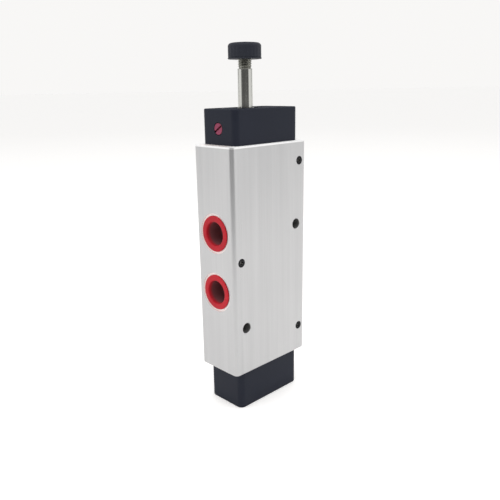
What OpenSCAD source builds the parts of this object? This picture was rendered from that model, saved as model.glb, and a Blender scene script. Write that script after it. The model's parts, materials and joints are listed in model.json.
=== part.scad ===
// Five-port, two-position spool valve with a solenoid pilot, shown without its coil.
// Origin: centre of the underside. X runs across the wide face, Y from front to back, Z up.
// The two outlet ports are on the -X face, the supply and the two exhausts on the +X face.

/* [Body] */
// Width of the aluminium body, from port face to port face
body_w = 69.4; // [67:0.2:80]
// Depth of the aluminium body, from front to back
body_d = 36.2; // [35.4:0.2:42]
// Height of the aluminium body
body_h = 154; // [152:1:180]
// Radius of the four upright edges of the body
body_edge_r = 3; // [1:0.5:4]

/* [Ports] */
// Height between neighbouring ports, which alternate from face to face
port_pitch = 20.2; // [20:0.1:21]
// Diameter of the drilling that takes the pipe thread
port_thread_d = 19; // [17:0.25:19]
// Depth of the threaded drilling
port_thread_depth = 15; // [14:0.25:15.5]
// Diameter of the spot face round a port
port_face_d = 27; // [26:0.25:28]
// Depth of the spot face
port_face_depth = 0.7; // [0.3:0.1:2]
// Diameter of the passage from a port to its chamber in the main bore
port_passage_d = 11; // [7:0.5:12]

/* [Main bore and spool] */
// Diameter of the main bore that the spool slides in
bore_d = 20; // [18:0.25:21]
// Diameter of the ring chambers cut round the main bore
chamber_d = 26; // [23:0.5:28]
// Height of the bore land left between two chambers
land_h = 8.2; // [7.5:0.1:9]
// Travel of the spool
spool_stroke = 8; // [7:0.25:8.5]
// Diameter of the spool between its lands
spool_stem_d = 10; // [8:0.5:12]
// Width of a seal ring on the spool
seal_w = 2.4; // [1.8:0.1:2.6]
// Radial depth of a seal ring
seal_depth = 1.8; // [1.2:0.1:2.4]
// Height of the guide ring at the lower end of the spool
guide_ring_h = 3; // [2:0.25:4]

/* [Drive piston] */
// Diameter of the piston bore at the top of the body
piston_bore_d = 25; // [23:0.25:26]
// Thickness of the drive piston
piston_h = 7; // [6.5:0.25:7.5]

/* [Return spring] */
// Mean diameter of the return spring
return_spring_d = 12.5; // [11:0.25:13]
// Wire thickness of the return spring
return_wire_d = 1.5; // [1:0.1:1.8]
// Turns of the return spring
return_turns = 11; // [8:1:13]

/* [End caps] */
// Step from the body in to both caps, on the port faces
cap_step_x = 5.8; // [4:0.1:6.2]
// Step from the body in to both caps, on the wide faces
cap_step_y = 2.3; // [1:0.1:2.4]
// Radius of the upright edges of both caps
cap_edge_r = 4.1; // [3:0.1:5]
// Radius of the cap rim that faces away from the body
cap_rim_r = 0.8; // [0.4:0.1:1.2]
// Height of the upper cap, which is the pilot head
top_cap_h = 22.2; // [22:0.1:28]
// Height of the lower cap, which holds the return spring
bottom_cap_h = 27.8; // [24:0.2:34]
// Thickness of the gasket under each cap
gasket_t = 0.8; // [0.5:0.1:1]
// Distance across the cap from screw to screw
cap_screw_span_x = 36.8; // [36:0.2:38]
// Distance from front to back from screw to screw
cap_screw_span_y = 21.2; // [20.4:0.2:21.6]
// Thread diameter of the cap screws
cap_screw_d = 4; // [3:0.5:4]
// Length of thread that a cap screw has in the body
cap_screw_grip = 9; // [6:0.5:11]

/* [Pilot valve] */
// Distance of the core tube from the body's middle, towards the outlet face
tube_offset = 4.7; // [2:0.1:5]
// Outside diameter of the core tube
tube_d = 9.6; // [9:0.1:10]
// Wall thickness of the core tube
tube_wall = 0.5; // [0.4:0.05:0.6]
// Height of the plain tube above the pilot head
tube_seat_h = 24.2; // [22:0.1:30]
// Length of the fixed iron core inside the tube
fixed_core_len = 15; // [12:0.5:16]
// Lift of the plunger
plunger_lift = 1.2; // [0.8:0.1:1.6]
// Mean diameter of the plunger spring
plunger_spring_d = 3.2; // [2.8:0.1:3.4]
// Wire thickness of the plunger spring
plunger_wire_d = 0.45; // [0.3:0.05:0.5]

/* [Coil nut] */
// Thread diameter of the neck on top of the tube
neck_d = 9; // [8:0.25:9]
// Length of the threaded neck
neck_len = 9; // [8.5:0.25:11]
// Thread pitch of the neck
neck_pitch = 1; // [0.75:0.25:1.25]
// Height from the tube's shoulder to the nut as it stands
nut_stand_off = 5.7; // [4.6:0.1:6.5]
// Diameter of the coil nut
nut_d = 21.2; // [18:0.1:24]
// Height of the coil nut above its washer
nut_h = 9.2; // [8:0.1:11]
// Thickness of the washer held under the nut
nut_washer_t = 1; // [0.8:0.1:1.2]
// How far the washer stands out round the nut
nut_washer_rim = 0.2; // [0.1:0.05:0.4]
// Number of grip flutes round the coil nut
nut_flutes = 24; // [12:1:30]

/* [Manual override] */
// Diameter of the override screw's head
override_d = 7.5; // [6.5:0.1:8]
// Height of the override screw above the foot of the pilot head
override_rise = 10; // [9.8:0.1:11]
// Width of the screwdriver slot
override_slot_w = 1.3; // [1:0.1:1.6]

/* [Mounting holes] */
// Diameter of the two holes through the body
mount_hole_d = 7; // [5:0.25:7.5]
// Distance of the upper hole from the supply face
upper_mount_inset = 9.75; // [7:0.05:11]
// Height of the upper hole above the supply port
upper_mount_rise = 19.5; // [17:0.1:22]
// Distance of the lower hole from the outlet face
lower_mount_inset = 10.25; // [7:0.05:12]
// Height of the lower hole below the supply port
lower_mount_drop = 44.1; // [41:0.1:50]

/* [Air passages] */
// Diameter of the three screws that close the cross drillings
channel_screw_d = 5.8; // [5:0.1:6]
// Diameter of the air passages
channel_d = 2.4; // [1.5:0.1:2.5]
// Distance of the upper vent screw from the supply face
upper_vent_inset = 6.9; // [6:0.05:8]
// Distance of the upper vent screw below the top of the body
upper_vent_drop = 13.6; // [12:0.1:14]
// Distance of the lower vent screw from the supply face
lower_vent_inset = 6.6; // [6:0.05:8]
// Height of the lower vent screw above the foot of the body
lower_vent_rise = 18.9; // [17:0.1:22]
// Distance of the pilot feed screw from the outlet face
feed_inset = 6.6; // [6:0.05:8]
// Height of the pilot feed screw above the supply port
feed_rise = 2.5; // [0:0.1:4]

/* [Thread protectors] */
// Diameter of a protector's flange
plug_flange_d = 24.5; // [23:0.25:25.5]
// Thickness of a protector's flange
plug_flange_t = 1; // [0.8:0.1:2.2]
// Diameter of the open cup inside a protector
plug_cup_d = 15.6; // [14:0.1:16]
// Length of the barrel inside the port
plug_barrel_len = 12.5; // [10:0.25:13.5]

/* [Clearances] */
// Radial gap between a sliding or loose piece and its bore
slide_gap = 0.3; // [0.2:0.05:0.4]
// Radial gap between a seal ring and its bore
seal_gap = 0.15; // [0.1:0.05:0.2]
// Radial gap between pieces that are pressed or screwed together
press_gap = 0.05; // [0.03:0.01:0.1]
// Gap that keeps pieces apart at the end of a travel
stop_gap = 0.3; // [0.2:0.05:0.5]

/* [Hidden] */
$fn = 96;
cut = 0.5;

body_foot_z = bottom_cap_h;
body_top_z = body_foot_z + body_h;
head_top_z = body_top_z + top_cap_h;
port_mid_z = body_foot_z + body_h / 2;
function port_z(step) = port_mid_z + step * port_pitch;

chamber_h = port_pitch - land_h;
port_steps = [-2, -1, 0, 1, 2];
supply_steps = [-2, 0, 2];
outlet_steps = [-1, 1];

// Spool rings: the inner four close one bore land each, at rest or after the stroke
ring_wall = 0.9;
spool_land_h = seal_w + 2 * ring_wall;
end_margin = spool_land_h / 2 + 0.6;
end_reach = 2 * port_pitch + chamber_h / 2 + end_margin;
ring_levels = [
    port_mid_z - end_reach,
    port_mid_z - 1.5 * port_pitch,
    port_mid_z - 0.5 * port_pitch + spool_stroke,
    port_mid_z + 0.5 * port_pitch,
    port_mid_z + 1.5 * port_pitch + spool_stroke,
    port_mid_z + end_reach + spool_stroke
];
spool_land_d = bore_d - 2 * slide_gap;
spool_seal_d = bore_d - 2 * seal_gap;
spool_foot_z = ring_levels[0] - spool_land_h / 2 - guide_ring_h - 2 * ring_wall;
spool_guide_z = spool_foot_z + ring_wall;
spool_head_z = ring_levels[5] + spool_land_h / 2;
spigot_d = return_spring_d - return_wire_d - 2 * slide_gap;
spigot_h = 6;

// Drive piston
piston_top_z = body_top_z - stop_gap;
piston_foot_z = piston_top_z - piston_h;
piston_floor_z = piston_foot_z - spool_stroke - 1;
piston_d = piston_bore_d - 2 * slide_gap;
piston_seal_z = piston_foot_z + piston_h - ring_wall - seal_w;
piston_guide_h = 1.8;
piston_guide_z = piston_foot_z + ring_wall;
spool_nose_d = spool_stem_d;

// Return spring and its seat
spring_pocket_d = return_spring_d + return_wire_d + 2;
spring_pocket_floor_z = 8;
spring_seat_t = 2;
spring_foot_z = spring_pocket_floor_z + spring_seat_t;

// End caps
cap_w = body_w - 2 * cap_step_x;
cap_d = body_d - 2 * cap_step_y;
gasket_rim = 0.8;
screw_head_d = 1.75 * cap_screw_d;
screw_head_h = cap_screw_d;
screw_socket_d = 0.75 * cap_screw_d;
counterbore_d = screw_head_d + 2 * press_gap + 0.3;
screw_hole_d = cap_screw_d + 2 * press_gap;
screw_recess = 8;

// Pilot valve, measured up from the foot of the pilot head
tube_x = -tube_offset;
pressure_recess_d = 18;
pressure_recess_h = 1;
chamber_floor_h = 7.5;
chamber_floor_z = body_top_z + chamber_floor_h;
pilot_chamber_d = 11;
pilot_chamber_h = 2.7;
tube_ring_z = chamber_floor_z + pilot_chamber_h;
tube_ring_wire = 1.8;
tube_base_z = tube_ring_z + tube_ring_wire;
tube_base_d = 14.4;
tube_base_t = 2.5;
tube_collar_d = tube_d + 1.4;
tube_nut_z = tube_base_z + tube_base_t;
tube_nut_d = 17.4;
tube_nut_recess = 0.4;
tube_bore_d = tube_d - 2 * tube_wall;
shoulder_z = head_top_z + tube_seat_h;
shoulder_lip = 0.5;
nozzle_d = 6;
nozzle_foot_h = 3.5;
nozzle_foot_z = body_top_z + nozzle_foot_h;
nozzle_flange_d = 8;
nozzle_flange_t = 1;
nozzle_tip_d = 2.6;
nozzle_tip_h = 2.4;
nozzle_tip_z = chamber_floor_z + nozzle_tip_h;
nozzle_hole_d = 1.1;
plunger_d = tube_bore_d - 0.4;
plunger_seal_d = 4;
plunger_seal_t = 2;
plunger_top_z = shoulder_z - fixed_core_len - plunger_lift;
plunger_pocket_d = plunger_spring_d + plunger_wire_d + 0.4;
plunger_pocket_h = 8;
plunger_turns = 8;
shading_ring_d = 6;
shading_ring_t = 0.8;

// Coil nut
washer_z = shoulder_z + nut_stand_off;
washer_d = nut_d + 2 * nut_washer_rim;
nut_foot_z = washer_z + nut_washer_t;
nut_bore_d = neck_d + 2 * slide_gap;
insert_wall = 1.8;
insert_d = nut_bore_d + 2 * insert_wall;
insert_h = 5;
nut_roof_t = 1.6;
nut_fillet_r = 2.4;
nut_dome_r = 50;
flute_d = 1.8;
flute_depth = 0.35;
flute_h = nut_h - nut_fillet_r - 0.3;
thread_depth = 0.6 * neck_pitch;

// Manual override
override_z = body_top_z + override_rise;
override_head_len = 3.2;
override_stem_d = 5;
override_tip_x = tube_x - tube_base_d / 2 - 1.4;
override_face_x = -cap_w / 2;
override_ring_wire = 1.4;
override_ring_x = override_tip_x - 4.2;
override_groove_x = override_face_x + override_head_len + 3.4;
override_groove_w = 2;
override_groove_d = 3.2;
keeper_pin_d = 1.5;
keeper_pin_y = override_groove_d / 2 + keeper_pin_d / 2 + seal_gap;
keeper_pin_foot_z = override_z - 3;
override_slot_depth = 1;
override_slot_turn = 57;

// Mounting holes and air passages
upper_mount_x = body_w / 2 - upper_mount_inset;
lower_mount_x = -body_w / 2 + lower_mount_inset;
upper_mount = [upper_mount_x, port_mid_z + upper_mount_rise];
lower_mount = [lower_mount_x, port_mid_z - lower_mount_drop];
mount_holes = [upper_mount, lower_mount];
mount_chamfer = 0.3;
channel_screw_len = 5;
channel_socket_h = 1.4;
channel_hole_depth = channel_screw_len + 0.4;
channel_seat_y = -body_d / 2 + channel_hole_depth;
upper_vent = [body_w / 2 - upper_vent_inset, body_top_z - upper_vent_drop];
lower_vent = [body_w / 2 - lower_vent_inset, body_foot_z + lower_vent_rise];
pilot_feed = [-body_w / 2 + feed_inset, port_mid_z + feed_rise];
channel_screws = [upper_vent, lower_vent, pilot_feed];
feed_riser_inset = [4, 3.25];
feed_riser = [feed_riser_inset.x - cap_w / 2, feed_riser_inset.y - cap_d / 2];
feed_groove_h = 2;
feed_rise_x = tube_x - tube_base_d / 2 - 4.5;

// Thread protectors
plug_barrel_d = port_thread_d - 2 * slide_gap - 0.3;
plug_floor_t = 1.2;
plug_ridge_h = 0.25;
plug_ridges = 4;

module rounded_plate(w, d, r, h) {
    linear_extrude(h) {
        square([w - 2 * r, d], center = true);
        square([w, d - 2 * r], center = true);
        for (x = [-1, 1], y = [-1, 1]) {
            translate([x * (w / 2 - r), y * (d / 2 - r)]) circle(r);
        }
    }
}

module drilling(from, to, d) {
    run = to - from;
    translate(from)
        rotate([0, acos(run.z / norm(run)), atan2(run.y, run.x)])
            cylinder(d = d, h = norm(run));
}

module ring(outer_d, inner_d, h) {
    rotate_extrude() translate([inner_d / 2, 0]) square([(outer_d - inner_d) / 2, h]);
}

module round_ring(centre_d, wire_d) {
    rotate_extrude() translate([centre_d / 2, 0]) circle(d = wire_d, $fn = 48);
}

// Square ring with its outer corners rounded, as a seal is moulded
module moulded_ring(outer_d, depth, w) {
    r = w / 4;
    rotate_extrude() {
        translate([outer_d / 2 - depth, 0]) square([depth - r, w]);
        translate([outer_d / 2 - depth, r]) square([depth, w - 2 * r]);
        for (z = [r, w - r]) translate([outer_d / 2 - r, z]) circle(r, $fn = 32);
    }
}

// Turned blank whose outline is given from the axis outwards
module turned(outline) {
    rotate_extrude() polygon(outline);
}

// Round-wire spring with one closed turn at each end, standing on z = 0
function coil_height(t, turns, wire_d, h) =
    let (closed = 1.12 * wire_d, open = (h - wire_d - 2 * closed) / (turns - 2))
    wire_d / 2 + (
        t < 1 ? t * closed :
        t > turns - 1 ? h - wire_d - (turns - t) * closed :
        closed + (t - 1) * open
    );

module coil_spring(mean_d, wire_d, turns, h, steps, sides) {
    rings = turns * steps;
    points = [
        for (i = [0 : rings], s = [0 : sides - 1])
            let (turn = i / steps, around = 360 * turn, tilt = 360 * s / sides,
                reach = mean_d / 2 + wire_d / 2 * cos(tilt))
            [reach * cos(around), reach * sin(around),
                coil_height(turn, turns, wire_d, h) + wire_d / 2 * sin(tilt)]
    ];
    sides_faces = [
        for (i = [0 : rings - 1], s = [0 : sides - 1])
            let (a = i * sides + s, b = i * sides + (s + 1) % sides)
            [a, b, b + sides, a + sides]
    ];
    start = [for (s = [sides - 1 : -1 : 0]) s];
    finish = [for (s = [0 : sides - 1]) rings * sides + s];
    polyhedron(points, concat([start], sides_faces, [finish]), convexity = 10);
}

module cap_screw_positions() {
    for (x = [-1, 1], y = [-1, 1]) {
        translate([x * cap_screw_span_x / 2, y * cap_screw_span_y / 2, 0]) children();
    }
}

// Socket head screw with the underside of its head on z = 0, shank downwards
module cap_screw(shank) {
    difference() {
        union() {
            cylinder(d = screw_head_d, h = screw_head_h - 0.4);
            translate([0, 0, screw_head_h - 0.4])
                cylinder(d1 = screw_head_d, d2 = screw_head_d - 0.8, h = 0.4);
            translate([0, 0, -shank + 0.5]) cylinder(d = cap_screw_d, h = shank);
            translate([0, 0, -shank]) cylinder(d1 = cap_screw_d - 1, d2 = cap_screw_d, h = 0.5);
        }
        translate([0, 0, screw_head_h / 2]) cylinder(d = screw_socket_d, h = screw_head_h, $fn = 6);
    }
}

module port_cut(side, z) {
    translate([side * body_w / 2, 0, z]) rotate([0, -side * 90, 0]) {
        translate([0, 0, -cut]) cylinder(d = port_face_d, h = port_face_depth + cut);
        cylinder(d = port_thread_d, h = port_thread_depth);
        cylinder(d = port_passage_d, h = body_w / 2 - bore_d / 2 + 1);
        translate([0, 0, port_thread_depth - 0.01])
            cylinder(d1 = port_thread_d, d2 = port_passage_d, h = (port_thread_d - port_passage_d) / 4);
    }
}

module main_bore_cut() {
    translate([0, 0, body_foot_z - cut]) cylinder(d = bore_d, h = body_h + 2 * cut);
    translate([0, 0, piston_floor_z]) cylinder(d = piston_bore_d, h = body_top_z - piston_floor_z + cut);
    for (step = port_steps) {
        translate([0, 0, port_z(step) - chamber_h / 2]) cylinder(d = chamber_d, h = chamber_h);
    }
}

module mount_hole_cut(place) {
    translate([place.x, body_d / 2 + cut, place.y]) rotate([90, 0, 0])
        cylinder(d = mount_hole_d, h = body_d + 2 * cut);
    for (side = [-1, 1]) {
        translate([place.x, side * body_d / 2, place.y]) rotate([side * 90, 0, 0])
            translate([0, 0, -mount_chamfer]) {
                cylinder(d1 = mount_hole_d + 4 * mount_chamfer, d2 = mount_hole_d, h = 2 * mount_chamfer);
            }
    }
}

module channel_screw_cut(place) {
    translate([place.x, -body_d / 2 - cut, place.y]) rotate([-90, 0, 0])
        cylinder(d = channel_screw_d + 2 * press_gap, h = channel_hole_depth + cut);
}

module air_passage_cut() {
    for (place = channel_screws) channel_screw_cut(place);
    inset = 0.6;
    drilling([upper_vent.x, channel_seat_y - inset, upper_vent.y],
        [piston_bore_d / 4, 0, piston_floor_z + channel_d], channel_d);
    drilling([upper_vent.x, channel_seat_y - inset, upper_vent.y],
        [body_w / 2 - port_thread_depth + 4, 0, port_z(2) + port_thread_d / 4], channel_d);
    drilling([lower_vent.x, channel_seat_y - inset, lower_vent.y],
        [bore_d / 4, 0, spool_foot_z - spool_stroke - channel_d], channel_d);
    drilling([lower_vent.x, channel_seat_y - inset, lower_vent.y],
        [body_w / 2 - port_thread_depth + 4, 0, port_z(-2) - port_thread_d / 4], channel_d);
    drilling([pilot_feed.x, channel_seat_y - inset, pilot_feed.y], [-bore_d / 2, 0, port_mid_z], channel_d);
    translate([feed_riser.x, feed_riser.y, pilot_feed.y - channel_d / 2])
        cylinder(d = channel_d, h = body_top_z - pilot_feed.y + channel_d / 2 + cut);
}

module cap_screw_threads() {
    translate([0, 0, body_top_z - cap_screw_grip - 2]) cap_screw_positions()
        cylinder(d = screw_hole_d, h = cap_screw_grip + 2 + cut);
    translate([0, 0, body_foot_z - cut]) cap_screw_positions()
        cylinder(d = screw_hole_d, h = cap_screw_grip + 2 + cut);
}

module valve_body() {
    color([0.80, 0.81, 0.81]) difference() {
        translate([0, 0, body_foot_z]) rounded_plate(body_w, body_d, body_edge_r, body_h);
        main_bore_cut();
        for (step = supply_steps) port_cut(1, port_z(step));
        for (step = outlet_steps) port_cut(-1, port_z(step));
        for (place = mount_holes) mount_hole_cut(place);
        air_passage_cut();
        cap_screw_threads();
    }
}

// Block with round upright edges and a softened rim at the end away from z = 0
module cap_block(h) {
    post_r = cap_edge_r - cap_rim_r;
    hull() {
        for (x = [-1, 1], y = [-1, 1]) {
            translate([x * (cap_w / 2 - cap_edge_r), y * (cap_d / 2 - cap_edge_r), 0]) {
                cylinder(r = cap_edge_r, h = h - cap_rim_r, $fn = 64);
                translate([0, 0, h - cap_rim_r]) rotate_extrude($fn = 64)
                    translate([post_r, 0]) intersection() {
                        circle(cap_rim_r, $fn = 24);
                        square(cap_rim_r);
                    }
            }
        }
    }
}

module gasket_space(t) {
    rounded_plate(cap_w - 2 * gasket_rim, cap_d - 2 * gasket_rim, cap_edge_r - gasket_rim, t);
}

module pilot_head() {
    color([0.17, 0.17, 0.20]) difference() {
        translate([0, 0, body_top_z]) cap_block(top_cap_h);
        translate([0, 0, body_top_z - cut]) {
            gasket_space(gasket_t + cut);
            cylinder(d = pressure_recess_d, h = gasket_t + pressure_recess_h + cut);
        }
        pilot_valve_cut();
        override_cut();
        pilot_feed_cut();
        translate([0, 0, body_top_z - cut]) cap_screw_positions() {
            cylinder(d = screw_hole_d, h = top_cap_h + 2 * cut);
            translate([0, 0, top_cap_h - screw_recess + cut])
                cylinder(d = counterbore_d, h = screw_recess + cut);
        }
    }
}

module pilot_valve_cut() {
    translate([tube_x, 0, 0]) {
        translate([0, 0, nozzle_foot_z])
            cylinder(d = nozzle_d + 2 * press_gap, h = chamber_floor_z - nozzle_foot_z + cut);
        translate([0, 0, chamber_floor_z]) cylinder(d = pilot_chamber_d, h = top_cap_h);
        translate([0, 0, tube_ring_z]) cylinder(d = tube_base_d + 2 * press_gap, h = top_cap_h);
        translate([0, 0, tube_nut_z]) cylinder(d = tube_nut_d + 2 * press_gap, h = top_cap_h);
    }
    drive_x = tube_x + pilot_chamber_d / 2 - 0.5;
    recess_top_z = body_top_z + gasket_t + pressure_recess_h;
    drilling([drive_x, 0, chamber_floor_z + cut], [drive_x, 0, recess_top_z - cut], nozzle_hole_d);
}

module override_cut() {
    translate([override_face_x - cut, 0, override_z]) rotate([0, 90, 0])
        cylinder(d = override_d + 2 * slide_gap, h = override_head_len + slide_gap + cut);
    translate([override_face_x, 0, override_z]) rotate([0, 90, 0])
        cylinder(d = override_stem_d + 2 * slide_gap, h = override_tip_x + stop_gap - override_face_x);
    drilling([override_tip_x - 1, 0, override_z - 1],
        [tube_x - pilot_chamber_d / 2 + 1, 0, chamber_floor_z + 1.2], nozzle_hole_d);
    translate([override_groove_x, keeper_pin_y, keeper_pin_foot_z])
        cylinder(d = keeper_pin_d + 2 * press_gap, h = top_cap_h);
}

// Moulded groove over the gasket, and the sloping passage from it to the nozzle
module pilot_feed_cut() {
    groove_z = body_top_z + gasket_t;
    translate([feed_riser.x, feed_riser.y, body_top_z]) cylinder(d = channel_d, h = gasket_t + feed_groove_h);
    translate([feed_riser.x - channel_d / 2, feed_riser.y, groove_z - cut])
        cube([channel_d, -feed_riser.y + channel_d / 2, feed_groove_h + cut]);
    translate([feed_riser.x, -channel_d / 2, groove_z - cut])
        cube([feed_rise_x - feed_riser.x, channel_d, feed_groove_h + cut]);
    drilling([feed_rise_x - 1, 0, groove_z + 1], [tube_x, 0, nozzle_foot_z - 0.3], nozzle_hole_d + 0.3);
}

module spring_cap() {
    color([0.17, 0.17, 0.20]) difference() {
        translate([0, 0, bottom_cap_h]) mirror([0, 0, 1]) cap_block(bottom_cap_h);
        translate([0, 0, bottom_cap_h - gasket_t]) gasket_space(gasket_t + cut);
        translate([0, 0, spring_pocket_floor_z]) cylinder(d = spring_pocket_d, h = bottom_cap_h);
        translate([0, 0, -cut]) cap_screw_positions() {
            cylinder(d = screw_hole_d, h = bottom_cap_h + 2 * cut);
            cylinder(d = counterbore_d, h = screw_recess + cut);
        }
    }
}

module gasket(middle_d) {
    difference() {
        gasket_space(gasket_t);
        translate([0, 0, -cut]) {
            cylinder(d = middle_d, h = gasket_t + 2 * cut);
            cap_screw_positions() cylinder(d = cap_screw_d + 0.6, h = gasket_t + 2 * cut);
            translate([feed_riser.x, feed_riser.y, 0]) cylinder(d = channel_d, h = gasket_t + 2 * cut);
        }
    }
}

module upper_gasket() {
    color([0.10, 0.10, 0.10]) translate([0, 0, body_top_z]) gasket(pressure_recess_d);
}

module lower_gasket() {
    color([0.10, 0.10, 0.10]) translate([0, 0, body_foot_z - gasket_t]) gasket(spring_pocket_d);
}

module upper_cap_screws() {
    seat_z = head_top_z - screw_recess;
    color([0.25, 0.25, 0.27]) translate([0, 0, seat_z]) cap_screw_positions()
        cap_screw(seat_z - body_top_z + cap_screw_grip);
}

module lower_cap_screws() {
    color([0.25, 0.25, 0.27]) translate([0, 0, screw_recess]) mirror([0, 0, 1]) cap_screw_positions()
        cap_screw(body_foot_z - screw_recess + cap_screw_grip);
}

// Socket set screws, flush with the wide face, that close the cross drillings
module channel_screws() {
    color([0.14, 0.14, 0.15]) for (place = channel_screws) {
        translate([place.x, -body_d / 2 + 0.1, place.y]) rotate([-90, 0, 0]) difference() {
            cylinder(d = channel_screw_d, h = channel_screw_len);
            translate([0, 0, -cut]) cylinder(d = channel_screw_d / 2, h = channel_socket_h + cut, $fn = 6);
        }
    }
}

module spool() {
    color([0.72, 0.73, 0.75]) difference() {
        union() {
            translate([0, 0, spool_foot_z - spigot_h]) cylinder(d = spigot_d, h = spigot_h);
            translate([0, 0, spool_foot_z])
                cylinder(d = spool_land_d, h = ring_levels[0] + spool_land_h / 2 - spool_foot_z);
            translate([0, 0, spool_foot_z]) cylinder(d = spool_stem_d, h = spool_head_z - spool_foot_z);
            for (level = ring_levels) {
                translate([0, 0, level - spool_land_h / 2]) cylinder(d = spool_land_d, h = spool_land_h);
            }
            translate([0, 0, spool_head_z]) cylinder(d = spool_nose_d, h = piston_foot_z - spool_head_z);
        }
        for (level = ring_levels) {
            translate([0, 0, level - seal_w / 2]) ring(bore_d + 2, spool_seal_d - 2 * seal_depth, seal_w);
        }
        translate([0, 0, spool_guide_z]) ring(bore_d + 2, spool_seal_d - 2 * seal_depth, guide_ring_h);
    }
}

module spool_seals() {
    color([0.08, 0.08, 0.08]) for (level = ring_levels) {
        translate([0, 0, level - seal_w / 2]) moulded_ring(spool_seal_d, seal_depth, seal_w);
    }
}

module spool_guide_ring() {
    color([0.93, 0.92, 0.88]) translate([0, 0, spool_guide_z])
        ring(spool_seal_d, spool_seal_d - 2 * seal_depth, guide_ring_h);
}

module drive_piston() {
    color([0.86, 0.86, 0.82]) difference() {
        translate([0, 0, piston_foot_z]) cylinder(d = piston_d, h = piston_h);
        translate([0, 0, piston_seal_z]) ring(piston_bore_d + 2, piston_d - 2 * seal_depth, seal_w);
        translate([0, 0, piston_guide_z]) ring(piston_bore_d + 2, piston_d - 2 * seal_depth, piston_guide_h);
        translate([0, 0, piston_top_z - 2]) ring(0.6 * piston_d, 0.3 * piston_d, 2 + cut);
    }
}

module piston_seal() {
    seal_d = piston_bore_d - 2 * seal_gap;
    color([0.08, 0.08, 0.08]) translate([0, 0, piston_seal_z])
        moulded_ring(seal_d, (seal_d - piston_d) / 2 + seal_depth, seal_w);
}

module piston_guide_ring() {
    guide_d = piston_bore_d - 2 * seal_gap;
    color([0.93, 0.92, 0.88]) translate([0, 0, piston_guide_z])
        ring(guide_d, piston_d - 2 * seal_depth, piston_guide_h);
}

module return_spring() {
    color([0.62, 0.63, 0.65]) translate([0, 0, spring_foot_z])
        coil_spring(return_spring_d, return_wire_d, return_turns, spool_foot_z - spring_foot_z, 20, 8);
}

module spring_seat() {
    color([0.55, 0.56, 0.58]) translate([0, 0, spring_pocket_floor_z]) {
        cylinder(d = spring_pocket_d - 2 * slide_gap, h = spring_seat_t);
        translate([0, 0, spring_seat_t]) cylinder(d = spigot_d, h = spigot_h - 1);
        translate([0, 0, spring_seat_t + spigot_h - 1]) cylinder(d1 = spigot_d, d2 = spigot_d - 2, h = 1);
    }
}

module core_tube() {
    bore_z = tube_base_z - cut;
    color([0.78, 0.78, 0.76]) translate([tube_x, 0, 0]) difference() {
        union() {
            translate([0, 0, tube_base_z]) cylinder(d = tube_base_d, h = tube_base_t);
            translate([0, 0, tube_base_z]) cylinder(d = tube_collar_d, h = head_top_z - tube_base_z);
            translate([0, 0, tube_base_z]) cylinder(d = tube_d, h = shoulder_z - shoulder_lip - tube_base_z);
        }
        translate([0, 0, bore_z]) cylinder(d = tube_bore_d, h = shoulder_z - bore_z);
    }
}

module core_tube_seal() {
    centre_d = tube_base_d - tube_ring_wire;
    color([0.08, 0.08, 0.08]) translate([tube_x, 0, tube_ring_z + tube_ring_wire / 2])
        round_ring(centre_d, tube_ring_wire);
}

// Threaded ring that clamps the foot of the core tube, with two holes for a pin wrench
module core_tube_nut() {
    nut_ring_h = head_top_z - tube_nut_recess - tube_nut_z;
    color([0.60, 0.58, 0.50]) translate([tube_x, 0, tube_nut_z]) difference() {
        ring(tube_nut_d, tube_collar_d + 2 * slide_gap, nut_ring_h);
        for (side = [-1, 1]) {
            translate([0, side * (tube_nut_d + tube_collar_d) / 4, nut_ring_h - 2])
                cylinder(d = 1.6, h = 2 + cut);
        }
    }
}

// Turned outline of the thread: a sawtooth of one ridge for each turn
function thread_ridges(r, depth, pitch, foot, turns) = [
    for (i = [0 : turns - 1]) each [
        [r - depth, foot + i * pitch],
        [r, foot + (i + 0.4) * pitch],
        [r, foot + (i + 0.6) * pitch],
        [r - depth, foot + (i + 1) * pitch]
    ]
];

module fixed_core() {
    turns = floor((neck_len - 1) / neck_pitch);
    core_r = tube_bore_d / 2 - press_gap;
    root_r = neck_d / 2 - thread_depth;
    thread_foot = neck_len - 0.2 - turns * neck_pitch;
    outline = concat(
        [[0, -fixed_core_len], [core_r, -fixed_core_len], [core_r, -shoulder_lip],
            [tube_d / 2, -shoulder_lip], [tube_d / 2 - shoulder_lip, 0], [root_r, 0]],
        thread_ridges(neck_d / 2, thread_depth, neck_pitch, thread_foot, turns),
        [[root_r - 0.2, neck_len], [0, neck_len]]
    );
    color([0.66, 0.66, 0.64]) translate([tube_x, 0, shoulder_z]) difference() {
        turned(outline);
        translate([0, 0, -fixed_core_len - cut])
            ring(shading_ring_d + 2 * press_gap, shading_ring_d - 2 * shading_ring_t - 2 * press_gap,
                shading_ring_t + cut);
    }
}

module shading_ring() {
    color([0.72, 0.43, 0.24]) translate([tube_x, 0, shoulder_z - fixed_core_len])
        ring(shading_ring_d, shading_ring_d - 2 * shading_ring_t, shading_ring_t);
}

module pilot_nozzle() {
    height = nozzle_tip_z - nozzle_foot_z;
    flange = chamber_floor_z - nozzle_foot_z;
    color([0.78, 0.65, 0.35]) translate([tube_x, 0, nozzle_foot_z]) difference() {
        turned([
            [0, 0], [nozzle_d / 2, 0], [nozzle_d / 2, flange], [nozzle_flange_d / 2, flange],
            [nozzle_flange_d / 2, flange + nozzle_flange_t],
            [nozzle_tip_d / 2 + 0.8, flange + nozzle_flange_t],
            [nozzle_tip_d / 2, height], [0, height]
        ]);
        translate([0, 0, -cut]) cylinder(d = nozzle_hole_d, h = height + 2 * cut);
    }
}

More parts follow.
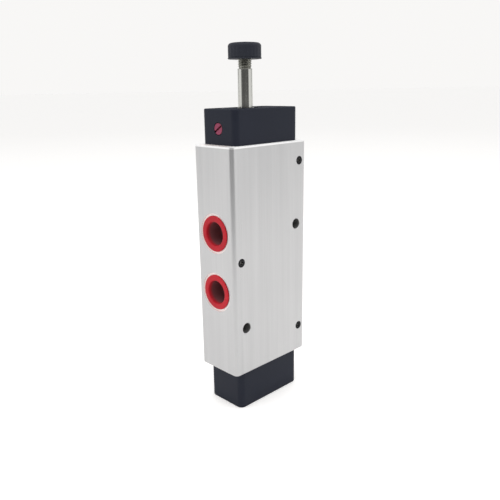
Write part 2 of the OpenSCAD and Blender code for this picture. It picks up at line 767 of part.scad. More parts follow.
module plunger() {
    color([0.60, 0.60, 0.60]) translate([tube_x, 0, 0]) difference() {
        union() {
            translate([0, 0, nozzle_tip_z]) cylinder(d1 = plunger_d - 1, d2 = plunger_d, h = 0.5);
            translate([0, 0, nozzle_tip_z + 0.5])
                cylinder(d = plunger_d, h = plunger_top_z - nozzle_tip_z - 0.5);
        }
        translate([0, 0, nozzle_tip_z - cut]) cylinder(d = plunger_seal_d, h = plunger_seal_t + cut);
        translate([0, 0, plunger_top_z - plunger_pocket_h])
            cylinder(d = plunger_pocket_d, h = plunger_pocket_h + cut);
        for (side = [-1, 1]) {
            translate([side * plunger_d / 2, 0, nozzle_tip_z - cut])
                cylinder(d = 1, h = plunger_top_z - nozzle_tip_z + 2 * cut, $fn = 32);
        }
    }
}

module plunger_seal() {
    color([0.08, 0.08, 0.08]) translate([tube_x, 0, nozzle_tip_z])
        cylinder(d = plunger_seal_d - 2 * press_gap, h = plunger_seal_t);
}

module plunger_spring() {
    color([0.62, 0.63, 0.65]) translate([tube_x, 0, plunger_top_z - plunger_pocket_h])
        coil_spring(plunger_spring_d, plunger_wire_d, plunger_turns, plunger_pocket_h + plunger_lift, 14, 6);
}

// Screw head, keeper groove, seal groove and drilled tip, lying along X from the outlet face
module override_screw() {
    length = override_tip_x - override_face_x;
    color([0.62, 0.20, 0.28]) translate([override_face_x, 0, override_z]) rotate([0, 90, 0]) difference() {
        union() {
            cylinder(d1 = override_d - 0.4, d2 = override_d, h = 0.2);
            translate([0, 0, 0.2]) cylinder(d = override_d, h = override_head_len - 0.2);
            cylinder(d = override_stem_d, h = length);
        }
        translate([0, 0, -cut]) rotate([0, 0, override_slot_turn])
            translate([-override_d / 2 - 1, -override_slot_w / 2, 0])
                cube([override_d + 2, override_slot_w, override_slot_depth + cut]);
        translate([0, 0, override_groove_x - override_face_x - override_groove_w / 2])
            ring(override_stem_d + 1, override_groove_d, override_groove_w);
        translate([0, 0, override_ring_x - override_face_x - override_ring_wire / 2])
            ring(override_stem_d + 1, override_stem_d - 1.8 * override_ring_wire, override_ring_wire);
        translate([0, 0, length - 3]) cylinder(d = nozzle_hole_d, h = 3 + cut);
    }
}

module override_seal() {
    groove_d = override_stem_d - 1.8 * override_ring_wire;
    color([0.08, 0.08, 0.08]) translate([override_ring_x, 0, override_z]) rotate([0, 90, 0])
        round_ring(groove_d + override_ring_wire, override_ring_wire);
}

module override_keeper_pin() {
    color([0.70, 0.70, 0.70]) translate([override_groove_x, keeper_pin_y, keeper_pin_foot_z])
        cylinder(d = keeper_pin_d, h = head_top_z - keeper_pin_foot_z);
}

module nut_washer() {
    color([0.13, 0.13, 0.15]) translate([tube_x, 0, washer_z]) rotate_extrude() {
        translate([neck_d / 2 + slide_gap, 0])
            square([(washer_d - neck_d - nut_washer_t) / 2 - slide_gap, nut_washer_t]);
        translate([(washer_d - nut_washer_t) / 2, nut_washer_t / 2]) circle(d = nut_washer_t, $fn = 32);
    }
}

module coil_nut() {
    color([0.16, 0.16, 0.19]) translate([tube_x, 0, nut_foot_z]) difference() {
        rotate_extrude() intersection() {
            union() {
                square([nut_d / 2 - nut_fillet_r, nut_h]);
                square([nut_d / 2, nut_h - nut_fillet_r]);
                translate([nut_d / 2 - nut_fillet_r, nut_h - nut_fillet_r]) circle(nut_fillet_r);
            }
            translate([0, nut_h - nut_dome_r]) circle(nut_dome_r);
            square([nut_d, nut_h]);
        }
        translate([0, 0, -cut]) cylinder(d = insert_d + 2 * press_gap, h = insert_h + cut);
        cylinder(d = nut_bore_d, h = nut_h - nut_roof_t);
        for (i = [0 : nut_flutes - 1]) {
            rotate(360 * i / nut_flutes) translate([nut_d / 2 + flute_d / 2 - flute_depth, 0, -cut])
                cylinder(d = flute_d, h = flute_h + cut, $fn = 32);
        }
    }
}

module coil_nut_insert() {
    color([0.78, 0.65, 0.35]) translate([tube_x, 0, nut_foot_z]) difference() {
        cylinder(d = insert_d, h = insert_h);
        translate([0, 0, -cut]) cylinder(d = nut_bore_d, h = insert_h + 2 * cut);
    }
}

// Flanged cup with grip ridges on its barrel, drawn with the flange face outwards on x = 0
module protector() {
    barrel_r = plug_barrel_d / 2;
    ridge_foot_r = barrel_r - 1;
    ridge_gap = (plug_barrel_len - 3) / plug_ridges;
    cup_depth = plug_flange_t + plug_barrel_len - plug_floor_t;
    color([0.82, 0.20, 0.22]) difference() {
        union() {
            rotate_extrude() {
                square([plug_flange_d / 2 - plug_flange_t / 2, plug_flange_t]);
                translate([(plug_flange_d - plug_flange_t) / 2, plug_flange_t / 2])
                    circle(d = plug_flange_t, $fn = 48);
            }
            cylinder(d = plug_barrel_d, h = plug_flange_t + plug_barrel_len - 1);
            translate([0, 0, plug_flange_t + plug_barrel_len - 1])
                cylinder(d1 = plug_barrel_d, d2 = plug_barrel_d - 1.4, h = 1);
            for (i = [0 : plug_ridges - 1]) {
                translate([0, 0, plug_flange_t + 1.2 + i * ridge_gap]) rotate_extrude()
                    polygon([
                        [ridge_foot_r, 0], [barrel_r + plug_ridge_h, 0], [barrel_r, 1.4], [ridge_foot_r, 1.4]
                    ]);
            }
        }
        translate([0, 0, -cut]) cylinder(d = plug_cup_d, h = cup_depth + cut);
        translate([0, 0, -0.01]) cylinder(d1 = plug_cup_d + 1.2, d2 = plug_cup_d, h = 0.6);
    }
}

module port_protector(side, step) {
    translate([side * (body_w / 2 - port_face_depth + plug_flange_t), 0, port_z(step)])
        rotate([0, -side * 90, 0]) protector();
}

module supply_protector() {
    port_protector(1, 0);
}

module outlet_a_protector() {
    port_protector(-1, 1);
}

module outlet_b_protector() {
    port_protector(-1, -1);
}

module exhaust_a_protector() {
    port_protector(1, 2);
}

module exhaust_b_protector() {
    port_protector(1, -2);
}

valve_body();
pilot_head();
spring_cap();
upper_gasket();
lower_gasket();
upper_cap_screws();
lower_cap_screws();
channel_screws();
spool();
spool_seals();
spool_guide_ring();
drive_piston();
piston_seal();
piston_guide_ring();
return_spring();
spring_seat();
core_tube();
core_tube_seal();
core_tube_nut();
fixed_core();
shading_ring();
pilot_nozzle();
plunger();
plunger_seal();
plunger_spring();
override_screw();
override_seal();
override_keeper_pin();
nut_washer();
coil_nut();
coil_nut_insert();
supply_protector();
outlet_a_protector();
outlet_b_protector();
exhaust_a_protector();
exhaust_b_protector();
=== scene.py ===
# Looks, light and camera for a pneumatic spool valve, built round its CAD frame.
import json
import math

import bmesh
import bpy
from mathutils import Matrix, Vector


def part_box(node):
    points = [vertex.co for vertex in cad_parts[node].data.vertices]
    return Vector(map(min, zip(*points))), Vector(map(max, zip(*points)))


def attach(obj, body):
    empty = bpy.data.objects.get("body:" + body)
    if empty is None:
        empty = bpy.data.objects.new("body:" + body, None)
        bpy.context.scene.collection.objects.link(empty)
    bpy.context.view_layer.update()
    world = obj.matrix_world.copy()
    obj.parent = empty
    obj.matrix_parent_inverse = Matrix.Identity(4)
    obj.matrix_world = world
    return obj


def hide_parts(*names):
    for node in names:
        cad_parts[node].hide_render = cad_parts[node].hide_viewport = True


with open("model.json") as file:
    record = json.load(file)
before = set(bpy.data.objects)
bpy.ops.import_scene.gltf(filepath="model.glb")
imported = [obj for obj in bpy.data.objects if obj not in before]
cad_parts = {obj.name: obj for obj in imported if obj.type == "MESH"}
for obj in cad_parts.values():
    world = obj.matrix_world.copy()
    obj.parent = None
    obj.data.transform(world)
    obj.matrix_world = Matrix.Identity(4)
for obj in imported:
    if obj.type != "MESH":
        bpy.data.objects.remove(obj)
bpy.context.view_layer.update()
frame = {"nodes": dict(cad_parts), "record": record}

MM = 0.001
NODES = frame["nodes"]
RECORD = frame["record"]

# Camera, as the photograph was taken: its place in metres, its turns, its lens and sensor in millimetres
CAMERA_PLACE = Vector((-0.26978, -0.27526, 0.21661))
CAMERA_YAW = math.radians(44.124)
CAMERA_PITCH = math.radians(15.896)
CAMERA_ROLL = math.radians(0.947)
CAMERA_LENS = 41.116
CAMERA_SENSOR = 36.0

# The dim side of the room behind the camera: its turn from the camera, its half width and where it fades out,
# and its light at each height, given as (sine of the height angle, light)
DIM_SIDE = math.radians(2.0)
DIM_HALF = math.radians(50.0)
DIM_FADE = math.radians(67.0)
DIM_HEIGHTS = (
    (-0.42, 1.0), (-0.31, 0.75), (-0.19, 0.48), (-0.10, 0.30),
    (-0.05, 0.12), (0.10, 0.12), (0.40, 1.0),
)

# Floor, in metres: how far it runs towards the camera, and how far behind the object and to its sides
FLOOR_FRONT = 0.45
FLOOR_REACH = 40.0

# Two grey cards, to the left and right of the backdrop: turn from the dim side, half width, light
CARD_TURN = math.radians(118.0)
CARD_HALF = math.radians(7.0)
CARD_LIGHT = 0.28

# Places of the pieces that are made or coloured here, read off the frame
BODY_LOW, BODY_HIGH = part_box("valve_body")
CORE_LOW, CORE_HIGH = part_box("fixed_core")
NUT_LOW, NUT_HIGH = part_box("coil_nut")
INSERT_LOW, INSERT_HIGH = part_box("coil_nut_insert")
OVERRIDE_LOW, OVERRIDE_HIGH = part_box("override_screw")
TUBE_X = (NUT_LOW.x + NUT_HIGH.x) / 2
PORTS = ("supply", "outlet_a", "outlet_b", "exhaust_a", "exhaust_b")
PORT_BOXES = [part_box(port + "_protector") for port in PORTS]
PORT_FACE = max(high.x for _, high in PORT_BOXES)
PORT_LEVELS = sorted((low.z + high.z) / 2 for low, high in PORT_BOXES)

# Sizes of the CAD part that the colours and the broken edges of the body follow
CORNER_R = 3.0 * MM
SPOT_FACE_R = 13.5 * MM
MOUNTING_HOLE_R = 3.5 * MM
OVERRIDE_R = 3.75 * MM

# Break on the body's sharp edges, and how far off a point may lie and still count as on a plane
EDGE_BREAK = 0.3 * MM
SNAP = 0.01 * MM

# Faces that meet at a greater turn than this are shaded as an edge.
# The first face of a break turns by 22.5 degrees.
PIECE_EDGE = math.radians(38)
BODY_EDGE = math.radians(22)

# Centres of the mounting holes and of the set screws on the wide face, as (x, z)
MOUNTING_HOLES = [
    (mount["pos_m"][0], mount["pos_m"][2]) for mount in RECORD["mounts"] if mount["kind"] == "bore"]
SET_SCREWS = (
    (BODY_HIGH.x - 6.9 * MM, BODY_HIGH.z - 13.6 * MM),
    (BODY_HIGH.x - 6.6 * MM, BODY_LOW.z + 18.9 * MM),
    (BODY_LOW.x + 6.6 * MM, PORT_LEVELS[2] + 2.5 * MM),
)

# Parts of one turn of a thread, as (share of the pitch, share of the depth)
THREAD_TURN = ((0.0, 0.0), (0.16, 0.0), (0.50, 1.0), (0.64, 1.0))


class Nodes:
    """A node tree with one short call for each kind of node that the materials and the world use."""

    def __init__(self, tree):
        self.tree = tree
        tree.nodes.clear()
        self.place = self.add("ShaderNodeTexCoord")

    def add(self, kind, inputs=None, **settings):
        """A new node. Each input is a constant or another node's output."""
        made = self.tree.nodes.new(kind)
        for name, value in settings.items():
            setattr(made, name, value)
        for name, value in (inputs or {}).items():
            self.put(made.inputs[name], value)
        return made

    def put(self, socket, value):
        if isinstance(value, bpy.types.NodeSocket):
            self.tree.links.new(value, socket)
        else:
            socket.default_value = value

    def math(self, operation, *values):
        return self.add("ShaderNodeMath", dict(enumerate(values)), operation=operation).outputs[0]

    def remap(self, value, low, high, to_low=0.0, to_high=1.0):
        return self.add("ShaderNodeMapRange", {
            "Value": value, "From Min": low, "From Max": high, "To Min": to_low, "To Max": to_high,
        }, interpolation_type="SMOOTHSTEP").outputs["Result"]

    def ramp(self, value, stops):
        """Straight runs between stops, each a (position from 0 to 1, level)."""
        node = self.add("ShaderNodeValToRGB", {"Fac": value})
        elements = node.color_ramp.elements
        while len(elements) < len(stops):
            elements.new(1.0)
        for element, (position, level) in zip(elements, stops):
            element.position = position
            element.color = (level, level, level, 1.0)
        return node.outputs["Color"]

    def noise(self, scale, detail=3.0, roughness=0.5):
        """Noise over the object's own coordinates, with a scale for each axis."""
        place = self.place.outputs["Object"]
        scaled = self.add("ShaderNodeVectorMath", {0: place, 1: scale}, operation="MULTIPLY").outputs[0]
        return self.add("ShaderNodeTexNoise", {
            "Vector": scaled, "Scale": 1.0, "Detail": detail, "Roughness": roughness,
        }).outputs["Fac"]

    def blend(self, factor, first, second):
        """Mix of two colours, each a constant or another node's output."""
        node = self.add("ShaderNodeMix", data_type="RGBA")
        self.put(node.inputs[0], factor)
        first_in, second_in = [socket for socket in node.inputs if socket.type == "RGBA"]
        for socket, value in ((first_in, first), (second_in, second)):
            self.put(socket, (*value, 1.0) if isinstance(value, tuple) else value)
        return next(socket for socket in node.outputs if socket.type == "RGBA")

    def bump(self, height, strength, distance):
        return self.add("ShaderNodeBump", {
            "Height": height, "Strength": strength, "Distance": distance,
        }).outputs["Normal"]

    def axes(self, vector):
        split = self.add("ShaderNodeSeparateXYZ", {0: vector})
        return split.outputs["X"], split.outputs["Y"], split.outputs["Z"]

    def length(self, first, second):
        squares = self.math("ADD", self.math("MULTIPLY", first, first), self.math("MULTIPLY", second, second))
        return self.math("SQRT", squares)

    def from_place(self, x, z, place):
        """Distance in the XZ plane from a place given as (x, z)."""
        return self.length(self.math("SUBTRACT", x, place[0]), self.math("SUBTRACT", z, place[1]))

    def from_port(self, y, z):
        """Distance from the axis of the nearest port."""
        pitch = PORT_LEVELS[3] - PORT_LEVELS[2]
        rise = self.math("PINGPONG", self.math("SUBTRACT", z, PORT_LEVELS[2] - 20 * pitch), pitch / 2)
        return self.length(y, rise)


def new_material(name):
    material = bpy.data.materials.new(name)
    material.use_nodes = True
    nodes = Nodes(material.node_tree)
    surface = nodes.add("ShaderNodeBsdfPrincipled")
    nodes.add("ShaderNodeOutputMaterial", {"Surface": surface.outputs["BSDF"]})
    return material, nodes, surface.inputs


def drawn_aluminium():
    """Clear anodised block: fine lines along Z, pale milled faces, a painted highlight along the top edge of
    the sides, a painted pink reflection on the spot faces, and painted shade: grey walls in the mounting
    holes.
    """
    material, n, surface = new_material("drawn_aluminium")
    fine = n.noise((1500.0, 1500.0, 11.0), 4.0, 0.62)
    broad = n.noise((160.0, 160.0, 4.0), 2.0)
    cloud = n.noise((16.0, 16.0, 8.0), 2.0)
    swirl = n.noise((900.0, 120.0, 900.0), 3.0)
    lines = n.math("ADD", n.math("MULTIPLY", fine, 0.5), n.math("MULTIPLY", broad, 0.5))
    tone = n.math("ADD", n.math("MULTIPLY", lines, 0.6), n.math("MULTIPLY", cloud, 0.4))
    sides = n.blend(n.remap(tone, 0.36, 0.64), (0.548, 0.549, 0.555), (0.622, 0.622, 0.627))
    x, y, z = n.axes(n.place.outputs["Object"])
    _, _, up = n.axes(n.place.outputs["Normal"])
    # Painted highlight: the top 1.1 to 1.3 mm of the sides is painted pale, like the milled top face
    rim_with_painted_light = n.remap(z, BODY_HIGH.z - 1.30 * MM, BODY_HIGH.z - 1.10 * MM)
    foot = n.remap(z, BODY_LOW.z + 0.06 * MM, BODY_LOW.z + 0.02 * MM)
    ledge = n.math("MULTIPLY", rim_with_painted_light, n.remap(up, 0.6, 0.9))
    bored = n.math(
        "MULTIPLY", n.remap(n.from_port(y, z), SPOT_FACE_R + 0.25 * MM, SPOT_FACE_R + 0.15 * MM),
        n.remap(n.math("ABSOLUTE", x), BODY_HIGH.x - 0.03 * MM, BODY_HIGH.x - 0.10 * MM))
    # Pale milled colour, for the top and bottom faces and for the painted highlight along the top of the
    # sides
    milled_and_painted_highlight = n.blend(swirl, (0.93, 0.93, 0.93), (0.99, 0.99, 0.99))
    colour = n.blend(n.math("MAXIMUM", rim_with_painted_light, foot), sides, milled_and_painted_highlight)
    # The spot faces round the ports are pale milled metal, tinted pink as a painted reflection of the red
    # protectors
    colour = n.blend(bored, colour, n.blend(swirl, (0.96, 0.88, 0.86), (1.0, 0.92, 0.90)))
    metallic = n.remap(n.math("MAXIMUM", ledge, bored), 0.0, 1.0, 0.96, 0.2)
    # Painted shade: the walls of the mounting holes are painted dark grey and made less metallic
    for centre in MOUNTING_HOLES:
        out = n.from_place(x, z, centre)
        wall = n.remap(out, MOUNTING_HOLE_R + 0.12 * MM, MOUNTING_HOLE_R + 0.04 * MM)
        colour = n.blend(wall, colour, (0.17, 0.168, 0.165))
        metallic = n.math("MULTIPLY", metallic, n.remap(wall, 0.0, 1.0, 1.0, 0.2))
    n.put(surface["Base Color"], colour)
    n.put(surface["Roughness"], n.remap(lines, 0.3, 0.7, 0.27, 0.37))
    n.put(surface["Normal"], n.bump(lines, 0.12, 0.04 * MM))
    n.put(surface["Metallic"], metallic)
    return material


def moulded_plastic(name, dark, light, rough, ior=1.45, grain=0.15, grain_scale=2400.0):
    """Moulded plastic with a fine eroded grain and slightly uneven colour, matt where it faces up."""
    material, n, surface = new_material(name)
    fine = n.noise((grain_scale,) * 3, 3.0, 0.6)
    cloud = n.noise((42.0, 42.0, 42.0), 3.0)
    _, _, up = n.axes(n.place.outputs["Normal"])
    level = n.remap(cloud, 0.3, 0.7, rough - 0.04, rough + 0.05)
    n.put(surface["Base Color"], n.blend(n.remap(cloud, 0.35, 0.65), dark, light))
    n.put(surface["Roughness"], n.math("MAXIMUM", level, n.remap(up, 0.6, 0.95, 0.0, 1.0)))
    n.put(surface["Normal"], n.bump(fine, grain, 0.03 * MM))
    n.put(surface["IOR"], ior)
    return material, n, surface


def red_plastic():
    """Red polyethylene, with painted shade inside the cups of the protectors and down the edge of their
    flanges.
    """
    dark, light = (0.47, 0.008, 0.020), (0.55, 0.012, 0.025)
    material, n, surface = moulded_plastic("red_plastic", dark, light, 0.36, 1.29, 0.06)
    x, y, z = n.axes(n.place.outputs["Object"])
    # Painted shade deep inside the cups, with a fine speckle
    deep = n.remap(n.math("ABSOLUTE", x), PORT_FACE - 0.3 * MM, PORT_FACE - 4.0 * MM)
    inside = n.math("MULTIPLY", deep, n.remap(n.from_port(y, z), 8.6 * MM, 8.2 * MM))
    speckle = n.noise((700.0, 700.0, 700.0), 2.0)
    shade = n.blend(speckle, (0.170, 0.058, 0.064), (0.225, 0.076, 0.082))
    # Painted shade down the outer edge of the flanges, where the gap to the spot face lies in shadow
    under = n.remap(n.math("ABSOLUTE", x), PORT_FACE - 0.25 * MM, PORT_FACE - 0.65 * MM)
    edge = n.math("MULTIPLY", under, n.remap(n.from_port(y, z), 11.3 * MM, 11.8 * MM))
    cloud = n.noise((42.0, 42.0, 42.0), 3.0)
    face = n.blend(edge, n.blend(n.remap(cloud, 0.35, 0.65), dark, light), (0.150, 0.012, 0.016))
    n.put(surface["Base Color"], n.blend(inside, face, shade))
    return material


def override_plastic():
    """Faded red plastic, with painted shade round its rim and in its screwdriver slot."""
    dark, light = (0.27, 0.033, 0.086), (0.33, 0.041, 0.104)
    material, n, surface = moulded_plastic("override_plastic", dark, light, 0.40, 1.42, 0.06)
    x, y, z = n.axes(n.place.outputs["Object"])
    centre = (OVERRIDE_LOW + OVERRIDE_HIGH) / 2
    out = n.length(n.math("SUBTRACT", y, centre.y), n.math("SUBTRACT", z, centre.z))
    # Painted shade round the rim of the screw's face
    rim_with_painted_light = n.remap(out, OVERRIDE_R - 0.5 * MM, OVERRIDE_R - 0.1 * MM)
    # Painted shade in the screwdriver slot, below the screw's face
    below = n.remap(x, OVERRIDE_LOW.x + 0.10 * MM, OVERRIDE_LOW.x + 0.35 * MM)
    slot = n.math("MULTIPLY", below, n.remap(out, 3.0 * MM, 2.5 * MM))
    face = n.blend(n.remap(n.noise((42.0, 42.0, 42.0)), 0.35, 0.65), dark, light)
    rimmed = n.blend(rim_with_painted_light, face, (0.140, 0.010, 0.028))
    n.put(surface["Base Color"], n.blend(slot, rimmed, (0.160, 0.006, 0.022)))
    return material


def worked_metal(name, dark, light, rough, scale):
    """Turned, drawn or coiled metal. The scale on each axis sets which way its fine lines run."""
    material, n, surface = new_material(name)
    lines = n.noise(scale, 4.0, 0.6)
    cloud = n.noise((110.0, 110.0, 110.0), 2.0)
    tone = n.math("ADD", n.math("MULTIPLY", lines, 0.7), n.math("MULTIPLY", cloud, 0.3))
    n.put(surface["Base Color"], n.blend(n.remap(tone, 0.35, 0.65), dark, light))
    n.put(surface["Roughness"], n.remap(tone, 0.3, 0.7, rough - 0.03, rough + 0.05))
    n.put(surface["Normal"], n.bump(lines, 0.08, 0.02 * MM))
    n.put(surface["Metallic"], 1.0)
    return material, n, surface


def black_steel(scale):
    """Black oxide, paler in the sockets of the set screws."""
    dark, light = (0.018, 0.018, 0.020), (0.028, 0.028, 0.031)
    material, n, surface = worked_metal("black_steel", dark, light, 0.40, scale)
    x, _, z = n.axes(n.place.outputs["Object"])
    colour = n.blend(n.noise(scale), dark, light)
    for place in SET_SCREWS:
        # Pale grey in the sockets of the set screws
        pale_socket = n.remap(n.from_place(x, z, place), 1.35 * MM, 1.20 * MM)
        colour = n.blend(pale_socket, colour, (0.45, 0.45, 0.43))
    n.put(surface["Base Color"], colour)
    return material


def make_materials():
    turned = (70.0, 70.0, 2200.0)
    drawn = (1700.0, 1700.0, 35.0)
    plastics = {
        "head_plastic": ((0.0155, 0.0185, 0.0300), (0.0180, 0.0210, 0.0335), 0.48, 1.25, 0.20),
        "nut_plastic": ((0.0255, 0.0285, 0.0385), (0.0285, 0.0315, 0.0415), 0.50, 1.235, 0.14),
        "nitrile_rubber": ((0.012, 0.012, 0.013), (0.018, 0.018, 0.019), 0.62, 1.50, 0.20, 1500.0),
        "acetal": ((0.70, 0.69, 0.64), (0.76, 0.75, 0.70), 0.40, 1.48, 0.05),
        "slide_plastic": ((0.78, 0.76, 0.70), (0.84, 0.82, 0.76), 0.45, 1.45, 0.05),
    }
    metals = {
        "stainless_steel": ((0.56, 0.56, 0.53), (0.64, 0.64, 0.605), 0.13, drawn),
        "core_iron": ((0.30, 0.30, 0.27), (0.44, 0.44, 0.40), 0.24, turned),
        "spring_steel": ((0.36, 0.36, 0.37), (0.45, 0.45, 0.46), 0.25, turned),
        "spool_aluminium": ((0.55, 0.56, 0.57), (0.64, 0.65, 0.66), 0.22, turned),
        "brass": ((0.60, 0.42, 0.16), (0.72, 0.52, 0.22), 0.20, turned),
        "copper": ((0.60, 0.26, 0.13), (0.72, 0.33, 0.18), 0.22, turned),
    }
    made = {name: moulded_plastic(name, *values)[0] for name, values in plastics.items()}
    made.update({name: worked_metal(name, *values)[0] for name, values in metals.items()})
    made["anodised_aluminium"] = drawn_aluminium()
    made["red_plastic"] = red_plastic()
    made["override_plastic"] = override_plastic()
    made["black_steel"] = black_steel(turned)
    return made


def dress_nodes():
    for part in RECORD["subparts"]:
        mesh = NODES[part["node"]].data
        mesh.materials.clear()
        mesh.materials.append(MATERIALS[part["material_slot"]])


def rounded(corners, steps=5):
    """Outline of (radius, height) points from corners (radius, height, rounding), all in millimetres."""
    outline = []
    for index, (radius, height, rounding) in enumerate(corners):
        here = Vector((radius, height))
        if not rounding:
            outline.append(here)
            continue
        back = (Vector(corners[index - 1][:2]) - here).normalized()
        ahead = (Vector(corners[(index + 1) % len(corners)][:2]) - here).normalized()
        half = back.angle(ahead) / 2
        centre = here + (back + ahead).normalized() * (rounding / math.sin(half))
        start = here + back * (rounding / math.tan(half)) - centre
        finish = here + ahead * (rounding / math.tan(half)) - centre
        sweep = start.angle(finish)
        for step in range(steps + 1):
            left, right = (1 - step / steps) * sweep, step / steps * sweep
            outline.append(centre + (start * math.sin(left) + finish * math.sin(right)) / math.sin(sweep))
    return outline


def revolve(outline, steps, shape=None):
    """Points and faces of an outline turned round Z. A shape gives the radius at (radius, height, angle)."""
    points = []
    for radius, height in outline:
        for step in range(steps):
            angle = 2 * math.pi * step / steps
            reach = shape(radius, height, angle) if shape else radius
            points.append((reach * math.cos(angle), reach * math.sin(angle), height))
    faces = []
    for row in range(len(outline) - 1):
        for step in range(steps):
            low, ahead = row * steps + step, row * steps + (step + 1) % steps
            faces.append((low, ahead, ahead + steps, low + steps))
    return points, faces


def helix(foot, top, pitch, steps, radius_at):
    """Points and faces of a thread. radius_at gives the radius for a rise and a height."""
    turns = range(-1, math.ceil((top - foot) / pitch) + 1)
    rows = [(turn + share, rise) for turn in turns for share, rise in THREAD_TURN]
    points = []
    for level, rise in rows:
        for step in range(steps):
            height = min(max(foot + (level + step / steps) * pitch, foot), top)
            reach = radius_at(rise, height)
            angle = 2 * math.pi * step / steps
            points.append((reach * math.cos(angle), reach * math.sin(angle), height))
    faces = []
    for row in range(len(rows) - 1):
        for step in range(steps - 1):
            low = row * steps + step
            faces.append((low, low + 1, low + 1 + steps, low + steps))
        low, ahead = row * steps + steps - 1, (row + len(THREAD_TURN)) * steps
        if ahead + steps < len(points):
            faces.append((low, ahead, ahead + steps, low + steps))
    return points, faces


def make_piece(name, surfaces, place, body, slot, stands_for=None):
    """One closed mesh from surfaces in millimetres, placed in the row frame and riding on its body."""
    built = bmesh.new()
    for points, faces in surfaces:
        vertices = [built.verts.new(place @ (Vector(point) * MM)) for point in points]
        for face in faces:
            built.faces.new([vertices[index] for index in face])
    bmesh.ops.remove_doubles(built, verts=built.verts, dist=1e-6)
    bmesh.ops.dissolve_degenerate(built, edges=built.edges, dist=1e-7)
    bmesh.ops.recalc_face_normals(built, faces=built.faces)
    mesh = bpy.data.meshes.new(name)
    built.to_mesh(mesh)
    built.free()
    mesh.shade_smooth()
    mesh.set_sharp_from_angle(angle=PIECE_EDGE)
    mesh.materials.append(MATERIALS[slot])
    piece = bpy.data.objects.new(name, mesh)
    bpy.context.scene.collection.objects.link(piece)
    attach(piece, body)
    if stands_for:
        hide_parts(stands_for)


def soft_step(value, low, high):
    share = min(1.0, max(0.0, (value - low) / (high - low)))
    return share * share * (3 - 2 * share)


def on_rim(point):
    """Whether a point of the body lies on its outer top or bottom edge, or on a mounting hole's rim."""
    x, y, z = abs(point.x), abs(point.y), point.z
    if min(abs(z - BODY_LOW.z), abs(z - BODY_HIGH.z)) < SNAP:
        past_x, past_y = x - (BODY_HIGH.x - CORNER_R), y - (BODY_HIGH.y - CORNER_R)
        corner = math.hypot(max(past_x, 0.0), max(past_y, 0.0))
        return abs(min(max(past_x, past_y), 0.0) + corner - CORNER_R) < 5 * SNAP
    if abs(y - BODY_HIGH.y) < SNAP:
        radii = [math.hypot(point.x - centre_x, z - centre_z) for centre_x, centre_z in MOUNTING_HOLES]
        return any(abs(radius - MOUNTING_HOLE_R) < 5 * SNAP for radius in radii)
    return False


def is_outer(face):
    """Whether a face of the body lies in one of its six outer planes."""
    for axis in range(3):
        for level in (BODY_LOW[axis], BODY_HIGH[axis]):
            if all(abs(vertex.co[axis] - level) < SNAP for vertex in face.verts):
                return True
    return False


def make_body():
    """The CAD body with its sharp outer edges broken and its outer faces shaded flat."""
    built = bmesh.new()
    built.from_mesh(NODES["valve_body"].data)
    bmesh.ops.remove_doubles(built, verts=built.verts, dist=1e-6)
    bmesh.ops.dissolve_limit(built, angle_limit=math.radians(0.3), verts=built.verts, edges=built.edges)
    rims = [edge for edge in built.edges if all(on_rim(vertex.co) for vertex in edge.verts)
            and len(edge.link_faces) == 2 and edge.calc_face_angle() > math.radians(60)]
    bmesh.ops.bevel(
        built, geom=rims, offset=EDGE_BREAK, offset_type="OFFSET", segments=2, profile=0.5, affect="EDGES")
    bmesh.ops.triangulate(built, faces=[face for face in built.faces if len(face.verts) > 4])
    for face in built.faces:
        face.smooth = not is_outer(face)
    mesh = bpy.data.meshes.new("valve_block")
    built.to_mesh(mesh)
    built.free()
    # The corner normals that come with the CAD mesh don't fit the new faces
    if "custom_normal" in mesh.attributes:
        mesh.attributes.remove(mesh.attributes["custom_normal"])
    mesh.set_sharp_from_angle(angle=BODY_EDGE)
    mesh.materials.append(MATERIALS["anodised_aluminium"])
    block = bpy.data.objects.new("valve_block", mesh)
    bpy.context.scene.collection.objects.link(block)
    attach(block, "valve")
    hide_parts("valve_body")


def make_coil_nut():
    """Knob with faint grip flutes and a slightly domed top, hollow for its insert and the neck."""
    outer_r = (NUT_HIGH.x - NUT_LOW.x) / 2 / MM
    height = (NUT_HIGH.z - NUT_LOW.z) / MM
    insert_r = (INSERT_HIGH.x - INSERT_LOW.x) / 2 / MM + 0.05
    insert_h = (INSERT_HIGH.z - INSERT_LOW.z) / MM
    bore_r, roof, fillet, dome_h, flutes = 4.8, 1.6, 2.2, 0.35, 24
    dome_r = outer_r - fillet
    dome = [(dome_r * share, height - dome_h * share * share, 0) for share in (0.0, 0.25, 0.5, 0.75)]
    outside = [
        (outer_r - 0.02, height - 0.6, fillet), (outer_r, height - 3.7, 0), (outer_r, height - 4.3, 0),
        (outer_r, 1.5, 0), (outer_r, 1.0, 0), (outer_r, 0, 0.35)]
    inside = [
        (insert_r, 0, 0.25), (insert_r, insert_h, 0), (bore_r, insert_h, 0),
        (bore_r, height - roof, 0.4), (0, height - roof, 0)]

    def fluted(radius, level, angle):
        depth = 0.17 * soft_step(radius, outer_r - 0.9, outer_r - 0.1) * soft_step(level, 0.3, 1.1)
        depth *= 1 - soft_step(level, height - 3.9, height - 2.6)
        return radius - depth * (0.5 + 0.5 * math.cos(flutes * angle)) ** 2.2

    knob = revolve(rounded(dome + outside + inside, 8), 12 * flutes, fluted)
    place = Matrix.Translation((TUBE_X, 0, NUT_LOW.z))
    make_piece("coil_nut_knob", [knob], place, "nut", "nut_plastic", "coil_nut")


